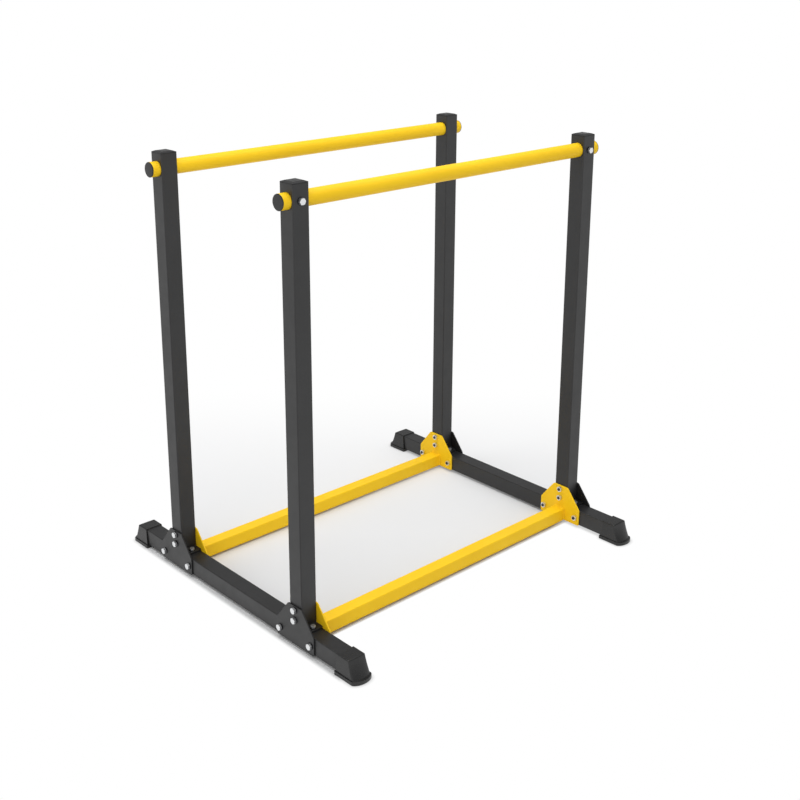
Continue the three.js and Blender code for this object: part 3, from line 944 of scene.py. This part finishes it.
def shoes():
    for corner, end, side in CORNERS:
        node = "shoe_" + corner
        low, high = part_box(node)
        beam_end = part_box("floor_beam_" + ("front" if end < 0 else "rear"))[1].x
        origin = Vector((side * beam_end, (low.y + high.y) / 2, 0))
        sole_inner = min(abs(low.x), abs(high.x)) - beam_end
        inner = sole_inner + SHOE_LIP
        solid = boolean("UNION", shoe_body(inner, high.z), shoe_sole(sole_inner))
        shoe = drilled(solid, [shoe_pocket(inner)])
        turn = HALF_TURN if side < 0 else STRAIGHT
        piece("fine_" + node, moved(shoe, Matrix.Translation(origin) @ turn), RUBBER, "shoe_rubber", node)


# Floor

FLOOR_RADIUS = 60.0
FLOOR_STEPS = 96
PATCH_SHADE_NEAR = (0.66, 0.663, 0.668)
PATCH_SHADE_FAR = (0.745, 0.75, 0.758)
SHADE_REACH = 12 * MM
SHADE_DEPTH = 0.36
SHADE_OPEN = 0.97
SHADE_CLOSED = 0.5
SHADE_SAMPLES = 8

# The ways out of the floor's patches of painted shade in degrees, and where the painted shade fades along the
# one that leads away
PATCH_AWAY = 138
PATCH_LEFT = -121.3
PATCH_RIGHT = 37.7
PATCH_SHADE_FROM = -0.55
PATCH_SHADE_TO = 0.05

PATCH_AWAY_FADE = 1.35
PATCH_LEFT_REACH = 0.565
PATCH_RIGHT_REACH = 0.51
PATCH_SIDE_FADE = 0.08
CROSS_FADE = 8 * MM
FRONT_GAP = 6 * MM
FRONT_FADE = 16 * MM
BEAM_END_FADE = 40 * MM
BEAM_BACK_FADE = 10 * MM

# The floor shows a darker paint in patches, a painted shade where the frame stands, which the lamps light and
# shade further. Each side has its way out, its reach and its fade.
FRONT_EDGE = (-90, UPRIGHT_Y + TUBE_SIDE / 2 + FRONT_GAP, FRONT_FADE)
INNER_SHADE_PATCH = [
    (0, UPRIGHT_X + cross_size.x / 2, CROSS_FADE),
    FRONT_EDGE,
    (PATCH_AWAY, 0.0, PATCH_AWAY_FADE),
    (PATCH_LEFT, PATCH_LEFT_REACH, PATCH_SIDE_FADE),
    (PATCH_RIGHT, PATCH_RIGHT_REACH, PATCH_SIDE_FADE),
]
BEAM_SHADE_PATCH = [
    (0, beam_size.x / 2 - BEAM_END_FADE, BEAM_END_FADE),
    (180, beam_size.x / 2 - BEAM_END_FADE, BEAM_END_FADE),
    (90, TUBE_SIDE / 2 - UPRIGHT_Y, BEAM_BACK_FADE),
    FRONT_EDGE,
]


def any_seen(tree):
    """One for rays from the camera, from glossy and from transmitting surfaces, else nothing."""
    path = add(tree, "ShaderNodeLightPath")
    names = ("Is Camera Ray", "Is Glossy Ray", "Is Transmission Ray")
    return combined(tree, "MAXIMUM", [path.outputs[name] for name in names])


def along_floor(tree, degrees, start, end, smooth=False):
    """Nothing before the start and one beyond the end, along a direction on the floor."""
    angle = math.radians(degrees)
    way = add(tree, "ShaderNodeVectorMath", operation="DOT_PRODUCT")
    way.inputs[1].default_value = (math.cos(angle), math.sin(angle), 0)
    tree.links.new(add(tree, "ShaderNodeTexCoord").outputs["Object"], way.inputs[0])
    return ramp(tree, way.outputs["Value"], start, end, smooth=smooth)


def outside_patches(tree):
    """Nothing inside a patch, one beyond them all, and a smooth fade across each side."""
    patches = []
    for sides in (INNER_SHADE_PATCH, BEAM_SHADE_PATCH):
        fades = [along_floor(tree, degrees, reach, reach + fade, True) for degrees, reach, fade in sides]
        patches.append(combined(tree, "MAXIMUM", fades))
    return combined(tree, "MINIMUM", patches)


def floor():
    """White paper. In the patches it is painted darker, a painted shade that the lamps light further; beyond
    them it is plain white, with a painted shade near the object.
    """
    mesh = bmesh.new()
    bmesh.ops.create_circle(mesh, cap_ends=True, segments=FLOOR_STEPS, radius=FLOOR_RADIUS)
    ground = placed("floor", mesh)
    material = bpy.data.materials.new("studio_floor")
    tree = bare_tree(material)
    link = tree.links.new

    # The patches are painted a little darker towards the near corner, a painted shade
    paint = add(tree, "ShaderNodeBsdfDiffuse")
    tone = along_floor(tree, PATCH_AWAY, PATCH_SHADE_FROM, PATCH_SHADE_TO)
    link(tint(tree, tone, PATCH_SHADE_NEAR, PATCH_SHADE_FAR), paint.inputs["Color"])

    # The plain white darkens where the object stands close
    corner = add(tree, "ShaderNodeAmbientOcclusion", samples=SHADE_SAMPLES, Distance=SHADE_REACH)
    glow = add(tree, "ShaderNodeEmission", Color=WHITE)
    shade = ramp(tree, corner.outputs["AO"], SHADE_CLOSED, SHADE_OPEN, 1 - SHADE_DEPTH, 1.0)
    link(shade, glow.inputs["Strength"])

    share = combined(tree, "MULTIPLY", [outside_patches(tree), any_seen(tree)])
    out = add(tree, "ShaderNodeOutputMaterial")
    link(blended(tree, share, paint.outputs["BSDF"], glow.outputs["Emission"]), out.inputs["Surface"])
    ground.data.materials.append(material)


# Light and camera

WORLD_FILL = 0.68
BACKDROP_HIGH = 0.4
BACKDROP_RISE = 0.35

CAMERA_PLACE = (2.49192, -2.26184, 1.78819)
CAMERA_YAW = math.radians(47.549)
CAMERA_PITCH = math.radians(-16.735)
CAMERA_ROLL = math.radians(-0.061)
SENSOR_WIDTH = 36
FRAME_PIXELS = 800
FOCAL_PIXELS = 1196.12
AXIS_PIXEL = (387.6, 301.9)


def sky():
    """A pale backdrop, white at the horizon and greyer above, in reflections too, and an even fill."""
    world = bpy.data.worlds.new("studio")
    bpy.context.scene.world = world
    tree = bare_tree(world)
    link = tree.links.new
    fill = add(tree, "ShaderNodeBackground", Color=WHITE, Strength=WORLD_FILL)
    backdrop = add(tree, "ShaderNodeBackground", Color=WHITE)
    way = add(tree, "ShaderNodeSeparateXYZ")
    link(add(tree, "ShaderNodeTexCoord").outputs["Generated"], way.inputs["Vector"])
    rise = ramp(tree, way.outputs["Z"], 0.0, BACKDROP_RISE, 1.0, BACKDROP_HIGH, smooth=True)
    link(rise, backdrop.inputs["Strength"])
    out = add(tree, "ShaderNodeOutputWorld")
    mix = blended(tree, any_seen(tree), fill.outputs["Background"], backdrop.outputs["Background"])
    link(mix, out.inputs["Surface"])


def lamp(name, place, target, size, watts):
    data = bpy.data.lights.new(name, "AREA")
    data.shape = "DISK"
    data.size = size
    data.energy = watts
    made = bpy.data.objects.new(name, data)
    bpy.context.scene.collection.objects.link(made)
    made.location = place
    made.rotation_euler = (Vector(target) - Vector(place)).to_track_quat("-Z", "Y").to_euler()


def camera():
    data = bpy.data.cameras.new("camera")
    data.sensor_width = SENSOR_WIDTH
    data.lens = FOCAL_PIXELS / FRAME_PIXELS * SENSOR_WIDTH
    data.shift_x = 0.5 - AXIS_PIXEL[0] / FRAME_PIXELS
    data.shift_y = AXIS_PIXEL[1] / FRAME_PIXELS - 0.5
    made = bpy.data.objects.new("camera", data)
    bpy.context.scene.collection.objects.link(made)
    made.location = CAMERA_PLACE
    made.rotation_euler = (math.pi / 2 + CAMERA_PITCH, CAMERA_ROLL, CAMERA_YAW)
    bpy.context.scene.camera = made


camera()
floor()
sky()
lamp("key", place=(-1.8, -1.6, 5.0), target=(0, 0, 0.4), size=2.6, watts=60)
lamp("top", place=(0.6, 0.4, 4.4), target=(0, 0, 0.3), size=3.6, watts=70)
lamp("front", place=(1.6, -3.0, 1.8), target=(0, 0, 0.4), size=2.4, watts=24)

floor_beams()
uprights()
cross_tubes()
bars()
plates()
bolts()
upright_plugs()
bar_caps()
shoes()

bpy.context.scene.view_settings.view_transform = "Standard"
